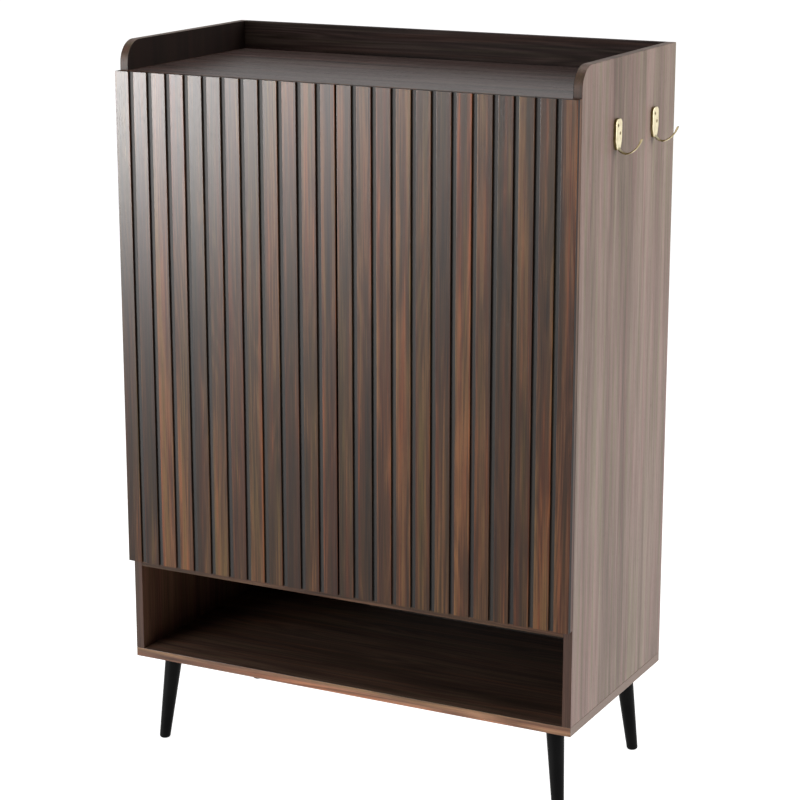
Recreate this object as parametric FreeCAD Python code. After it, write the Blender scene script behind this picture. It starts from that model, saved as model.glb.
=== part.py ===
"""Two-door fluted shoe cabinet on tapered legs, with a raised tray top and two coat hooks.

Millimetres. X runs to the right, Y to the back and Z up. The origin is on the floor, at the
middle of the whole object, hooks included. Lengths ending in _H are heights above the
underside of the base panel.
"""

import FreeCAD, Part
import math
import os
from FreeCAD import Placement, Rotation, Vector

# ---- driving dimensions -------------------------------------------------------------------

WIDTH = 800.0  # over the two side panels
CARCASS_DEPTH = 380.0  # front to back, without the doors
BOARD = 15.0  # every board
LEG_HEIGHT = 154.0  # floor to the underside of the base panel
SIDE_TOP_H = 1041.0  # top of the side panels and the back rail
TRAY_FLOOR_H = 994.0  # top of the top panel
MIDDLE_SHELF_H = 162.0  # underside of the middle shelf
DOOR_BOTTOM_H = 175.0
EDGE_ROUND = 0.7  # softened edges of the boards
TRAY_CORNER_RADIUS = 36.0

DOOR_GAP = 1.2  # door back to the carcass front
DOOR_MIDDLE_GAP = 3.0  # between the two doors
SLATS = 12  # on each door
GROOVE_WIDTH = 8.3
GROOVE_DEPTH = 3.0
SLAT_ROUND = 1.0

SHELF_COUNT = 4
SHELF_SIDE_GAP = 1.5
SHELF_FRONT_INSET = 20.0
SHELF_REAR_INSET = 16.0
PIN_RADIUS = 2.45
PIN_HOLE_RADIUS = 2.55
PIN_HOLE_DEPTH = 9.0
PIN_OUT = 7.0  # pin out of the side panel, under the shelf
PIN_COLLAR = 1.4  # wider than the pin, all round
PIN_ROW_STEP = 32.0  # spare pin holes above and below each shelf
PIN_INSETS = (55.0, 325.0)  # from the carcass front

BACK_THICKNESS = 3.0
BACK_INSET = 12.0  # rear edge of the boards to the groove
BACK_GROOVE = 3.4
BACK_GROOVE_DEPTH = 5.5

LEG_TOP_RADIUS = 15.0
LEG_FOOT_RADIUS = 9.25
LEG_FOOT_ROUND = 4.0
LEG_TOP_INSET = 46.0  # leg centre under the base, from the side and from the front or back
LEG_FOOT_INSET = 31.5
LEG_PLATE = 62.0
LEG_PLATE_THICKNESS = 2.0
LEG_SCREW_OFFSET = 24.0
LEG_PLATE_ROUND = 8.0  # corners of the plate
LEG_TOP_CHAMFER = 0.6
LEG_SCREW_HEAD = (3.8, 2.0)  # radius and height
LEG_SCREW_SHANK = (2.0, 12.0)  # radius and length
BOSS_RADIUS = 7.0
BOSS_ROOM = (10.0, 12.5)  # radius and depth of its bore in the base panel
HANGER_RADIUS = 4.0
HANGER_IN_LEG = 26.0
HANGER_IN_PLATE = 10.0

HOOK_INSETS = (136.0, 288.0)  # hook centre from the carcass front
HOOK_PLATE_BOTTOM_H = 902.0
HOOK_PLATE_HEIGHT = 47.5
HOOK_PLATE_THICKNESS = 4.5
HOOK_REACH = 41.75  # side panel to the tip of the hook

HINGE_HEIGHTS_H = (251.0, 905.0)
CUP_CENTRE = 20.5  # from the door's outer edge
CUP_RADIUS = 17.4
CUP_BORE_RADIUS = 17.5
CUP_BORE_DEPTH = 11.3
CUP_WALL = 0.6
CUP_FLOOR = 0.5
FLANGE_THICKNESS = 1.0
DOOR_PIVOT = (9.0, -7.8)  # from the door's outer edge and from the carcass front
LINK_LENGTH = 14.0
LINK_ANGLE = -5.0  # from the door pivot to the arm pivot, degrees
LINK_ELBOW = (8.1, -20.0)  # distance and angle from the door pivot
LINK_THICKNESS = 1.8
LINK_HALF_WIDTH = 4.0
EYE_RADIUS = 2.2
LINK_PIN_RADIUS = 1.25
LINK_HOLE_RADIUS = 1.3  # running fit on the pins
FIXED_HOLE_RADIUS = 1.27

LATCH_OFFSET = 70.0  # each side of the cabinet's middle
PLUNGER_RADIUS = 4.0
PLUNGER_BORE_RADIUS = 4.08
PLUNGER_LENGTH = 40.0
LATCH_AXIS_DROP = 8.0  # below the top panel
STRIKE_THICKNESS = 0.8
STRIKE_RADIUS = 7.0

SCREW_CLEARANCE = 0.05  # hole radius over screw radius

# ---- derived positions --------------------------------------------------------------------

LEFT = -(WIDTH + HOOK_REACH) / 2
RIGHT = LEFT + WIDTH
MIDDLE = (LEFT + RIGHT) / 2
INNER_LEFT = LEFT + BOARD
INNER_RIGHT = RIGHT - BOARD
DOOR_THICKNESS = BOARD
TOTAL_DEPTH = CARCASS_DEPTH + DOOR_GAP + DOOR_THICKNESS
BACK = TOTAL_DEPTH / 2
FRONT = BACK - CARCASS_DEPTH
DOOR_BACK = FRONT - DOOR_GAP
DOOR_FRONT = DOOR_BACK - DOOR_THICKNESS
BASE_TOP = LEG_HEIGHT + BOARD
SHELF_BOTTOM = LEG_HEIGHT + MIDDLE_SHELF_H
SHELF_TOP = SHELF_BOTTOM + BOARD
TOP_UPPER = LEG_HEIGHT + TRAY_FLOOR_H
TOP_UNDER = TOP_UPPER - BOARD
SIDE_TOP = LEG_HEIGHT + SIDE_TOP_H
DOOR_WIDTH = (WIDTH - DOOR_MIDDLE_GAP) / 2
SLAT_WIDTH = (DOOR_WIDTH - (SLATS - 1) * GROOVE_WIDTH) / SLATS
SPACE_HEIGHT = (TOP_UNDER - SHELF_TOP - SHELF_COUNT * BOARD) / (SHELF_COUNT + 1)

X, Y, Z = Vector(1, 0, 0), Vector(0, 1, 0), Vector(0, 0, 1)


# ---- helpers ------------------------------------------------------------------------------


def box(x0, x1, y0, y1, z0, z1):
    return Part.makeBox(x1 - x0, y1 - y0, z1 - z0, Vector(x0, y0, z0))


def rod(radius, start, direction, length):
    return Part.makeCylinder(radius, length, start, direction)


def cut(solid, tools):
    return solid.cut(Part.makeCompound(tools)) if tools else solid


def fuse(solids):
    return solids[0].multiFuse(solids[1:]).removeSplitter()


def soft_board(x0, x1, y0, y1, z0, z1):
    """A board with softened edges."""
    board = box(x0, x1, y0, y1, z0, z1)
    return board.makeFillet(EDGE_ROUND, board.Edges)


def prism(points, start, along):
    """A straight solid from a closed outline of corner points."""
    outline = Part.makePolygon([start + point for point in points + points[:1]])
    return Part.Face(outline).extrude(along)


def mirrored(solids):
    """The same pieces on the other side of the cabinet's middle plane."""
    return [solid.mirror(Vector(MIDDLE, 0, 0), X) for solid in solids]


def save(node, solids):
    shape = solids[0] if len(solids) == 1 else Part.makeCompound(solids)
    shape.exportStep("parts/" + node + ".step")
    print(node, len(shape.Solids), "solid(s)", "valid" if shape.isValid() else "NOT VALID")


# ---- screws -------------------------------------------------------------------------------


def placed(solid, point, into):
    """Turn a screw drawn with its shank down -Z so that it goes into a board."""
    solid.Placement = Placement(point, Rotation(Z.negative(), into))
    return solid


def cross_recess(radius, top, depth):
    """The cross that a screwdriver turns."""
    half_slot = 0.18 * radius
    arm = 0.62 * radius
    return [
        box(-arm, arm, -half_slot, half_slot, top - depth, top + 1),
        box(-half_slot, half_slot, -arm, arm, top - depth, top + 1),
    ]


def shank(radius, length):
    """A plain shank with a pointed end."""
    tip = 1.3 * radius
    straight = rod(radius, Z * (tip - length), Z, length - tip)
    point = Part.makeCone(0.25 * radius, radius, tip, Z * -length, Z)
    return straight.fuse(point)


def pan_screw(point, into, head_radius, head_height, shank_radius, length):
    """Round-headed screw. The point is under its head, where the head meets the surface."""
    head = Part.makeCylinder(head_radius, head_height)
    rim = [edge for edge in head.Edges if edge.BoundBox.ZMin > head_height - 0.01]
    head = head.makeFillet(0.6 * head_height, rim)
    solid = fuse([head, shank(shank_radius, length)])
    return placed(cut(solid, cross_recess(head_radius, head_height, 0.6 * head_height)), point, into)


def flat_screw(point, into, head_radius, head_depth, shank_radius, length):
    """Countersunk screw, flush with the surface at the point."""
    head = Part.makeCone(shank_radius, head_radius, head_depth, Z * -head_depth, Z)
    solid = fuse([head, shank(shank_radius, length)])
    return placed(cut(solid, cross_recess(head_radius, 0, 0.6 * head_depth)), point, into)


def flat_screw_hole(point, into, head_radius, head_depth, shank_radius, length):
    """Room for a countersunk screw, with a little play."""
    play = SCREW_CLEARANCE
    cone = Part.makeCone(shank_radius + play, head_radius + play, head_depth, Z * -head_depth, Z)
    hole = rod(shank_radius + play, Z * -length, Z, length)
    return placed(cone.fuse(hole), point, into)


def screw_hole(point, into, shank_radius, length):
    return rod(shank_radius + SCREW_CLEARANCE, point, into, length + 0.3)


# ---- joinery: cam bolts, cam locks, dowels and long screws --------------------------------

CAM_RADIUS = 7.4
CAM_BORE_RADIUS = 7.5
CAM_HEIGHT = 11.8
CAM_BORE_DEPTH = 12.0
CAM_SLOT_PAST_CENTRE = 3.0
CAM_CROSS = (5.0, 1.0, 2.0)  # radius, upper end and depth of its cross recess
CAM_FROM_END = 34.0
CAM_INSETS = (48.0, 320.0)  # from the carcass front
BOLT_THREAD = (2.5, 9.0)  # radius and length in the side panel
BOLT_SHANK_RADIUS = 2.9
BOLT_HEAD = (3.4, 4.0)
BOLT_HOLE_RADIUS = 3.6
DOWEL_RADIUS = 3.95
DOWEL_HOLE_RADIUS = 4.0
DOWEL_IN_SIDE = 10.0
DOWEL_IN_BOARD = 20.0
DOWEL_INSETS = (90.0, 280.0)
RAIL_DOWEL_RADIUS = 2.95
RAIL_DOWEL_HOLE_RADIUS = 3.0
BASE_SCREW_INSETS = (60.0, 190.0, 320.0)
BASE_SCREW = (4.5, 3.2, 2.5, 50.0)  # head radius, head depth, shank radius, length
RAIL_SCREW_OFFSETS = (-250.0, 0.0, 250.0)
RAIL_SCREW = (3.6, 2.4, 1.9, 38.0)


def joint_bolt(face, inward, y, z):
    """Bolt screwed into a side panel, whose head the cam lock pulls."""
    thread_radius, thread_length = BOLT_THREAD
    head_radius, head_length = BOLT_HEAD
    at = Vector(face, y, z)
    neck = CAM_FROM_END - head_length / 2
    return fuse([
        rod(thread_radius, at - inward * thread_length, inward, thread_length),
        rod(BOLT_SHANK_RADIUS, at, inward, neck),
        rod(head_radius, at + inward * neck, inward, head_length),
    ])


def joint_cam(face, inward, y, z_under):
    """Round lock let into the underside of a board, slotted for the bolt's head."""
    centre = Vector(face, y, z_under) + inward * CAM_FROM_END
    cam = rod(CAM_RADIUS, centre, Z, CAM_HEIGHT)
    middle = z_under + BOARD / 2
    slot_half = BOLT_HEAD[0] + 0.3
    slot_start = centre - inward * (CAM_RADIUS + 1)
    slot_end = centre + inward * CAM_SLOT_PAST_CENTRE
    slot = box(
        min(slot_start.x, slot_end.x), max(slot_start.x, slot_end.x),
        y - slot_half, y + slot_half, middle - slot_half, middle + slot_half,
    )
    cross = [part.translated(centre) for part in cross_recess(*CAM_CROSS)]
    return cut(cam, [slot] + cross)


def board_joints(z_under):
    """Bolts, cams and dowels at both ends of a board, and the bores they need.

    Returns the pieces, the bores in the board and the bores in each side panel.
    """
    pieces = {"bolts": [], "cams": [], "dowels": []}
    board_bores, side_bores = [], {"left": [], "right": []}
    middle = z_under + BOARD / 2
    ends = (("left", INNER_LEFT, X), ("right", INNER_RIGHT, X.negative()))
    for side, face, inward in ends:
        for inset in CAM_INSETS:
            y = FRONT + inset
            at = Vector(face, y, middle)
            pieces["bolts"].append(joint_bolt(face, inward, y, middle))
            pieces["cams"].append(joint_cam(face, inward, y, z_under))
            cam_centre = Vector(face, y, z_under) + inward * CAM_FROM_END
            board_bores.append(rod(CAM_BORE_RADIUS, cam_centre, Z, CAM_BORE_DEPTH))
            board_bores.append(rod(BOLT_HOLE_RADIUS, at, inward, CAM_FROM_END))
            side_bores[side].append(screw_hole(at, inward.negative(), *BOLT_THREAD))
        for inset in DOWEL_INSETS:
            at = Vector(face, FRONT + inset, middle)
            start = at - inward * DOWEL_IN_SIDE
            pieces["dowels"].append(rod(DOWEL_RADIUS, start, inward, DOWEL_IN_SIDE + DOWEL_IN_BOARD))
            board_bores.append(rod(DOWEL_HOLE_RADIUS, at, inward, DOWEL_IN_BOARD + 1))
            side_bores[side].append(rod(DOWEL_HOLE_RADIUS, at, inward.negative(), DOWEL_IN_SIDE + 0.5))
    return pieces, board_bores, side_bores


def rail_dowels():
    """One thin dowel at each end of the back rail, with the bores in rail and side panels."""
    y = BACK - BOARD / 2
    z = (TOP_UPPER + SIDE_TOP) / 2
    dowels, rail_bores, side_bores = [], [], {}
    ends = (("left", INNER_LEFT, X), ("right", INNER_RIGHT, X.negative()))
    for side, face, inward in ends:
        start = Vector(face, y, z) - inward * DOWEL_IN_SIDE
        length = DOWEL_IN_SIDE + DOWEL_IN_BOARD
        dowels.append(rod(RAIL_DOWEL_RADIUS, start, inward, length))
        bore = rod(RAIL_DOWEL_HOLE_RADIUS, start - inward * 0.5, inward, length + 1.5)
        rail_bores.append(bore)
        side_bores[side] = [bore]
    return dowels, rail_bores, side_bores


def base_screws():
    """Long countersunk screws up through the base panel into the side panels."""
    points = [
        Vector(x, FRONT + inset, LEG_HEIGHT)
        for x in (LEFT + BOARD / 2, RIGHT - BOARD / 2)
        for inset in BASE_SCREW_INSETS
    ]
    screws = [flat_screw(point, Z, *BASE_SCREW) for point in points]
    holes = [flat_screw_hole(point, Z, *BASE_SCREW) for point in points]
    return screws, holes


def rail_screws():
    """Countersunk screws up through the top panel into the back rail."""
    y = BACK - BOARD / 2
    points = [Vector(MIDDLE + offset, y, TOP_UNDER) for offset in RAIL_SCREW_OFFSETS]
    screws = [flat_screw(point, Z, *RAIL_SCREW) for point in points]
    holes = [flat_screw_hole(point, Z, *RAIL_SCREW) for point in points]
    return screws, holes


# ---- shelves and their pins ---------------------------------------------------------------


def shelf_under(number):
    """Underside of an adjustable shelf, counted from 1 at the bottom."""
    return SHELF_TOP + number * SPACE_HEIGHT + (number - 1) * BOARD


def adjustable_shelf(number):
    z = shelf_under(number)
    return soft_board(
        INNER_LEFT + SHELF_SIDE_GAP, INNER_RIGHT - SHELF_SIDE_GAP,
        FRONT + SHELF_FRONT_INSET, BACK - SHELF_REAR_INSET, z, z + BOARD,
    )


def shelf_pin(face, inward, y, z):
    """Round pin in the side panel, with a collar against it. The shelf lies on the pin."""
    start = Vector(face, y, z) - inward * (PIN_HOLE_DEPTH - 0.5)
    pin = rod(PIN_RADIUS, start, inward, PIN_HOLE_DEPTH + PIN_OUT + 0.5)
    collar = rod(PIN_RADIUS + PIN_COLLAR, Vector(face, y, z), inward, SHELF_SIDE_GAP - 0.3)
    return fuse([pin, collar])


def shelf_pins_and_holes():
    pins, holes = [], {"left": [], "right": []}
    for side, face, inward in (("left", INNER_LEFT, X), ("right", INNER_RIGHT, X.negative())):
        for number in range(1, SHELF_COUNT + 1):
            z = shelf_under(number) - PIN_RADIUS
            for inset in PIN_INSETS:
                pins.append(shelf_pin(face, inward, FRONT + inset, z))
                for step in (-PIN_ROW_STEP, 0.0, PIN_ROW_STEP):
                    mouth = Vector(face, FRONT + inset, z + step)
                    holes[side].append(rod(PIN_HOLE_RADIUS, mouth, inward.negative(), PIN_HOLE_DEPTH))
    return pins, holes


# ---- boards -------------------------------------------------------------------------------


def back_groove():
    """The room for the back panel in all the boards round it."""
    y = BACK - BACK_INSET - BACK_GROOVE
    return box(
        INNER_LEFT - BACK_GROOVE_DEPTH, INNER_RIGHT + BACK_GROOVE_DEPTH, y, y + BACK_GROOVE,
        BASE_TOP - BACK_GROOVE_DEPTH, TOP_UNDER + BACK_GROOVE_DEPTH,
    )


def back_panel():
    margin = BACK_GROOVE_DEPTH - 0.5
    y = BACK - BACK_INSET - (BACK_GROOVE + BACK_THICKNESS) / 2
    return box(
        INNER_LEFT - margin, INNER_RIGHT + margin, y, y + BACK_THICKNESS,
        BASE_TOP - margin, TOP_UNDER + margin,
    )


def side_panel(x0):
    """Side panel with its front top corner rounded off, standing on the base panel."""
    radius = TRAY_CORNER_RADIUS
    centre = Vector(x0, FRONT + radius, SIDE_TOP - radius)
    corners = [
        Vector(x0, FRONT, SIDE_TOP - radius),
        Vector(x0, FRONT, BASE_TOP),
        Vector(x0, BACK, BASE_TOP),
        Vector(x0, BACK, SIDE_TOP),
        Vector(x0, FRONT + radius, SIDE_TOP),
    ]
    on_arc = centre + Vector(0, -1, 1).normalize() * radius
    arc = Part.Arc(corners[-1], on_arc, corners[0]).toShape()
    outline = Part.Wire([*Part.makePolygon(corners).Edges, arc])
    board = Part.Face(outline).extrude(X * BOARD)
    return board.makeFillet(EDGE_ROUND, board.Edges)


def top_panel():
    return soft_board(INNER_LEFT, INNER_RIGHT, FRONT, BACK, TOP_UNDER, TOP_UPPER)


def back_rail():
    return soft_board(INNER_LEFT, INNER_RIGHT, BACK - BOARD, BACK, TOP_UPPER, SIDE_TOP)


def base_panel():
    return soft_board(LEFT, RIGHT, FRONT, BACK, LEG_HEIGHT, BASE_TOP)


def middle_shelf():
    rear = BACK - BACK_INSET - BACK_GROOVE - 0.2
    return soft_board(INNER_LEFT, INNER_RIGHT, FRONT, rear, SHELF_BOTTOM, SHELF_TOP)


# ---- legs ---------------------------------------------------------------------------------


def leg_corners():
    """Name, and the ways from the corner towards the cabinet's middle, of each leg."""
    return (
        ("front_left_leg", LEFT, FRONT, 1, 1),
        ("front_right_leg", RIGHT, FRONT, -1, 1),
        ("rear_left_leg", LEFT, BACK, 1, -1),
        ("rear_right_leg", RIGHT, BACK, -1, -1),
    )


def leg_points(corner_x, corner_y, way_x, way_y):
    """Centre of a leg's top, under its plate, and of its foot on the floor."""
    top_z = LEG_HEIGHT - LEG_PLATE_THICKNESS
    top = Vector(corner_x + way_x * LEG_TOP_INSET, corner_y + way_y * LEG_TOP_INSET, top_z)
    foot = Vector(corner_x + way_x * LEG_FOOT_INSET, corner_y + way_y * LEG_FOOT_INSET, 0)
    return top, foot


def leg(top, foot, bolt_way):
    """Splayed, tapered leg with a rounded foot and a bore for its hanger bolt."""
    rings = [
        Part.Wire(Part.makeCircle(LEG_FOOT_RADIUS, foot, Z)),
        Part.Wire(Part.makeCircle(LEG_TOP_RADIUS, top, Z)),
    ]
    solid = Part.makeLoft(rings, True, True)
    foot_edge = [e for e in solid.Edges if e.BoundBox.ZMax < 1 and len(e.Vertexes) < 2]
    top_edge = [e for e in solid.Edges if e.BoundBox.ZMin > top.z - 1 and len(e.Vertexes) < 2]
    solid = solid.makeFillet(LEG_FOOT_ROUND, foot_edge)
    solid = solid.makeChamfer(LEG_TOP_CHAMFER, top_edge)
    bore = rod(HANGER_RADIUS + SCREW_CLEARANCE, top + bolt_way * 2, bolt_way.negative(), HANGER_IN_LEG + 3)
    return solid.cut(bore)


def hanger_bolt(top, bolt_way):
    """Threaded stud between leg and plate, with a groove round it where its two threads meet."""
    stud = rod(HANGER_RADIUS, top - bolt_way * HANGER_IN_LEG, bolt_way, HANGER_IN_LEG + HANGER_IN_PLATE)
    ring = rod(HANGER_RADIUS + 1, top - bolt_way * 1.5, bolt_way, 1)
    core = rod(HANGER_RADIUS - 0.5, top - bolt_way * 3, bolt_way, 4)
    return stud.cut(ring.cut(core))


def leg_plate(top, bolt_way):
    """Steel plate screwed under the base, with the threaded boss that the leg screws into."""
    half = LEG_PLATE / 2
    plate = box(top.x - half, top.x + half, top.y - half, top.y + half, top.z, LEG_HEIGHT)
    corners = [edge for edge in plate.Edges if edge.Length < LEG_PLATE_THICKNESS + 0.1]
    plate = plate.makeFillet(LEG_PLATE_ROUND, corners)
    boss = rod(BOSS_RADIUS, top + bolt_way * 1.5, bolt_way, HANGER_IN_PLATE - 0.5)
    solid = fuse([plate, boss])
    holes = [rod(HANGER_RADIUS + SCREW_CLEARANCE, top - bolt_way * 3, bolt_way, 2 * HANGER_IN_PLATE)]
    for point in leg_screw_points(top):
        holes.append(screw_hole(point - Z, Z, LEG_SCREW_SHANK[0], LEG_PLATE_THICKNESS + 2))
    return cut(solid, holes)


def leg_screw_points(top):
    offset = LEG_SCREW_OFFSET
    return [top + Vector(dx, dy, 0) for dx in (-offset, offset) for dy in (-offset, offset)]


def legs_and_fittings():
    """Every leg by name, with the plates, bolts, screws and the bores in the base panel."""
    legs, plates, bolts, screws, base_bores = {}, [], [], [], []
    for name, corner_x, corner_y, way_x, way_y in leg_corners():
        top, foot = leg_points(corner_x, corner_y, way_x, way_y)
        bolt_way = (top - foot).normalize()
        legs[name] = leg(top, foot, bolt_way)
        plates.append(leg_plate(top, bolt_way))
        bolts.append(hanger_bolt(top, bolt_way))
        room_radius, room_depth = BOSS_ROOM
        base_bores.append(rod(room_radius, Vector(top.x, top.y, LEG_HEIGHT), Z, room_depth))
        for point in leg_screw_points(top):
            screws.append(pan_screw(point, Z, *LEG_SCREW_HEAD, *LEG_SCREW_SHANK))
            base_bores.append(screw_hole(point, Z, *LEG_SCREW_SHANK))
    return legs, plates, bolts, screws, base_bores


# ---- doors --------------------------------------------------------------------------------


def door_outline():
    """Left door seen from above: slats and grooves along the front, flat at the back."""
    points = [Vector(0, DOOR_THICKNESS, 0), Vector(0, 0, 0)]
    for slat in range(1, SLATS):
        right = slat * SLAT_WIDTH + (slat - 1) * GROOVE_WIDTH
        points.append(Vector(right, 0, 0))
        points.append(Vector(right, GROOVE_DEPTH, 0))
        points.append(Vector(right + GROOVE_WIDTH, GROOVE_DEPTH, 0))
        points.append(Vector(right + GROOVE_WIDTH, 0, 0))
    points.append(Vector(DOOR_WIDTH, 0, 0))
    points.append(Vector(DOOR_WIDTH, DOOR_THICKNESS, 0))
    return points


def door_panel():
    """Left door with rounded slats, cup bores and screw holes in its back."""
    bottom = LEG_HEIGHT + DOOR_BOTTOM_H
    height = TOP_UPPER - bottom
    start = Vector(LEFT, DOOR_FRONT, bottom)
    door = prism(door_outline(), start, Z * height)
    slat_edges = [
        edge for edge in door.Edges
        if abs(edge.Length - height) < 0.01 and edge.BoundBox.YMax < DOOR_FRONT + 0.01
    ]
    door = door.makeFillet(SLAT_ROUND, slat_edges)
    bores = []
    for z in hinge_centres():
        cup_centre = Vector(LEFT + CUP_CENTRE, DOOR_BACK, z)
        bores.append(rod(CUP_BORE_RADIUS, cup_centre, Y.negative(), CUP_BORE_DEPTH))
        for point in cup_screw_points(z):
            bores.append(screw_hole(point, Y.negative(), *CUP_SCREW_SHANK))
    bores.append(rod(STRIKE_STUD_RADIUS + 0.05, latch_point(DOOR_BACK), Y.negative(), STRIKE_STUD + 0.5))
    return cut(door, bores)


# ---- concealed hinges, drawn for the left door --------------------------------------------

# Across a hinge, places are measured from the door's outer edge. Along it, they are measured
# from the carcass front towards the back, and along Z from the hinge's middle.
CUP_SCREW_SHANK = (1.7, 9.5)  # radius and length
CUP_SCREW_HEAD = (3.2, 1.4)  # radius and height
CUP_SCREW_ACROSS = 26.0
CUP_SCREW_OFFSET = 24.0
FLANGE_ACROSS = (9.0, 35.5)
FLANGE_HALF_HEIGHT = 29.0
FLANGE_ROUND = 5.0
EAR_ACROSS = (6.6, 11.4)
EAR_THICKNESS = 1.2
EAR_OUTER = 7.4
EAR_PAST_PIVOT = 2.4
PLATE_SCREW_HEAD = (3.4, 1.6)
PLATE_SCREW_SHANK = (1.7, 12.0)
PLATE_SCREW_ALONG = 37.0
PLATE_SCREW_OFFSET = 16.0
ARM_SCREW_HEAD = (3.2, 1.6)
ARM_SCREW_SHANK = (2.0, 7.0)
ARM_SCREW_ALONG = (26.0, 48.0)
PLATE_BASE = 2.5
PLATE_ALONG = (18.0, 56.0)
PLATE_HALF_HEIGHT = 10.0
WING_ALONG = (30.0, 44.0)
WING_HALF_HEIGHT = 22.0
WING_ROUND = 5.0
RIB_TOP = 11.0  # from the side panel
RIB_HALF_HEIGHT = 6.2
WEB = 1.5
ARM_HALF_WIDTH = 8.0
ARM_ALONG = (4.0, 58.0)
NOSE_HALF_WIDTH = 5.8
NOSE_ALONG = (-2.0, 8.0)
EYE_WALL = 0.2  # the arm's eye is wider than the link's, all round
FORK_PLAY = 0.3  # each side of the link


def hinge_centres():
    return [LEG_HEIGHT + height for height in HINGE_HEIGHTS_H]


def hinge_point(x, y, z):
    """A place by its distance from the door's outer edge and from the carcass front."""
    return Vector(LEFT + x, FRONT + y, z)


def hinge_box(across_x, along_y, z, half_height):
    """A block from its two limits across the hinge, its two along it, and its height."""
    return box(
        LEFT + across_x[0], LEFT + across_x[1], FRONT + along_y[0], FRONT + along_y[1],
        z - half_height, z + half_height,
    )


def arm_pivot():
    angle = math.radians(LINK_ANGLE)
    x = DOOR_PIVOT[0] + LINK_LENGTH * math.cos(angle)
    y = DOOR_PIVOT[1] + LINK_LENGTH * math.sin(angle)
    return x, y


def across(radius, pivot, z, half):
    """An upright cylinder on one of the pivots."""
    return rod(radius, hinge_point(pivot[0], pivot[1], z - half), Z, 2 * half)


def cup_screw_points(z):
    offsets = (-CUP_SCREW_OFFSET, CUP_SCREW_OFFSET)
    return [hinge_point(CUP_SCREW_ACROSS, -DOOR_GAP, z + offset) for offset in offsets]


def hinge_cup(z):
    """Pressed cup let into the door, its flange, and two ears that hold the door pivot."""
    back = -DOOR_GAP
    floor = back - CUP_BORE_DEPTH + 0.1
    shell = rod(CUP_RADIUS, hinge_point(CUP_CENTRE, floor, z), Y, back - floor)
    flange = hinge_box(FLANGE_ACROSS, (back, back + FLANGE_THICKNESS), z, FLANGE_HALF_HEIGHT)
    corners = [edge for edge in flange.Edges if edge.Length < FLANGE_THICKNESS + 0.1]
    flange = flange.makeFillet(FLANGE_ROUND, corners)
    hollow_radius = CUP_RADIUS - CUP_WALL
    hollow = rod(hollow_radius, hinge_point(CUP_CENTRE, floor + CUP_FLOOR, z), Y, 20)
    body = cut(fuse([shell, flange]), [hollow])
    ear_along = (floor + CUP_FLOOR / 2, DOOR_PIVOT[1] + EAR_PAST_PIVOT)
    ear_middle = EAR_OUTER - EAR_THICKNESS / 2
    ears = [
        hinge_box(EAR_ACROSS, ear_along, z + middle, EAR_THICKNESS / 2)
        for middle in (-ear_middle, ear_middle)
    ]
    holes = [across(FIXED_HOLE_RADIUS, DOOR_PIVOT, z, EAR_OUTER + 1)]
    for point in cup_screw_points(z):
        holes.append(screw_hole(point, Y, CUP_SCREW_SHANK[0], 3))
    return cut(fuse([body] + ears), holes)


def link_bar(start, end, z):
    """Flat bar between two points of the link."""
    length = math.dist(start, end)
    bar = Part.makeBox(length, LINK_THICKNESS, 2 * LINK_HALF_WIDTH, Vector(0, -LINK_THICKNESS / 2, 0))
    angle = math.degrees(math.atan2(end[1] - start[1], end[0] - start[0]))
    bar.Placement = Placement(hinge_point(start[0], start[1], z - LINK_HALF_WIDTH), Rotation(Z, angle))
    return bar


def hinge_link(z):
    """Elbowed link between the arm's pivot and the door's pivot."""
    distance, angle = LINK_ELBOW[0], math.radians(LINK_ELBOW[1])
    elbow = (DOOR_PIVOT[0] + distance * math.cos(angle), DOOR_PIVOT[1] + distance * math.sin(angle))
    solid = fuse([
        across(EYE_RADIUS, DOOR_PIVOT, z, LINK_HALF_WIDTH),
        link_bar(DOOR_PIVOT, elbow, z),
        across(LINK_THICKNESS / 2, elbow, z, LINK_HALF_WIDTH),
        link_bar(elbow, arm_pivot(), z),
        across(EYE_RADIUS, arm_pivot(), z, LINK_HALF_WIDTH),
    ])
    past_link = 1.5 * LINK_HALF_WIDTH
    return cut(solid, [across(LINK_HOLE_RADIUS, pivot, z, past_link) for pivot in (DOOR_PIVOT, arm_pivot())])


def arm_screw_points(z):
    web_top = BOARD + RIB_TOP + WEB
    return [hinge_point(web_top, y, z) for y in ARM_SCREW_ALONG]


def plate_screw_points(z):
    offsets = (-PLATE_SCREW_OFFSET, PLATE_SCREW_OFFSET)
    return [hinge_point(BOARD + PLATE_BASE, PLATE_SCREW_ALONG, z + offset) for offset in offsets]


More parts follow.
